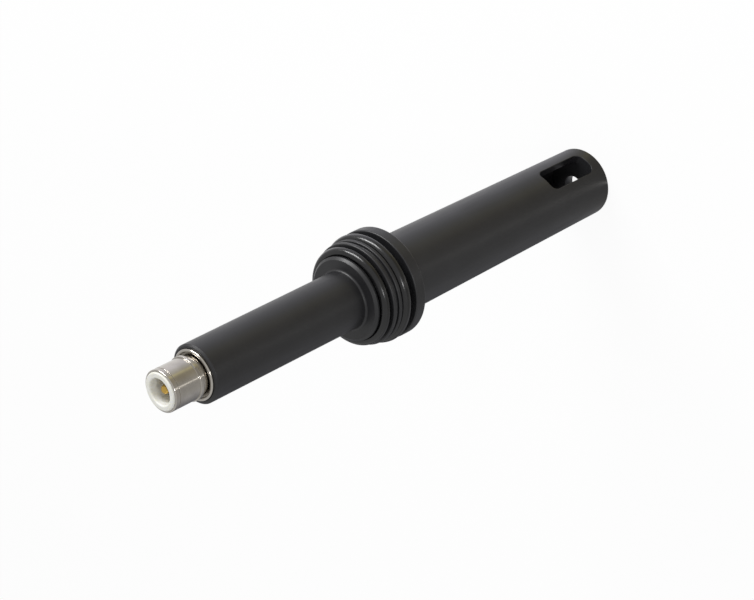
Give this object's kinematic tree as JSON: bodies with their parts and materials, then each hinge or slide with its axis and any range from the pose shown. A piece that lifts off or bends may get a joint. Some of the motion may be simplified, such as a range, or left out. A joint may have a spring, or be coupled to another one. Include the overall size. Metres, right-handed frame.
{
  "type": "conductivity probe",
  "caption": "Black probe with a slotted measuring tube, a stack of sealing rings round its middle and a round coaxial plug socket at its top.",
  "frame": {"origin": "centre of the flat sensing end, on the surface the probe stands on", "axes": "+Z along the probe from the sensing end up to the plug socket, Y through the two flow slots, X through the two electrodes"},
  "size_m": [0.023, 0.023, 0.1253],
  "materials": {
    "tube_plastic": "satin",
    "stem_plastic": "satin",
    "ring_rubber": "glossy",
    "nickel_plate": "polished",
    "white_insulator": "satin",
    "gold_plate": "polished",
    "tinned_brass": "satin",
    "holder_plastic": "satin",
    "electrode_steel": "fine ground",
    "cast_resin": "glossy",
    "signal_lead_skin": "satin",
    "return_lead_skin": "satin",
    "shrink_sleeve": "satin"
  },
  "bodies": {
    "root": {"cell_tube": "tube_plastic", "stem": "stem_plastic", "rear_o_ring": "ring_rubber", "front_o_ring": "ring_rubber", "spigot_o_ring": "ring_rubber", "holder_ring_lower": "ring_rubber", "holder_ring_upper": "ring_rubber", "socket_washer": "ring_rubber", "socket_shell": "nickel_plate", "socket_insulator": "white_insulator", "centre_pin": "gold_plate", "ground_lug": "tinned_brass", "electrode_holder": "holder_plastic", "signal_electrode": "electrode_steel", "return_electrode": "electrode_steel", "sealing_compound": "cast_resin", "signal_lead": "signal_lead_skin", "return_lead": "return_lead_skin", "signal_sleeve_lower": "shrink_sleeve", "return_sleeve_lower": "shrink_sleeve", "signal_sleeve_upper": "shrink_sleeve"}
  },
  "joints": []
}
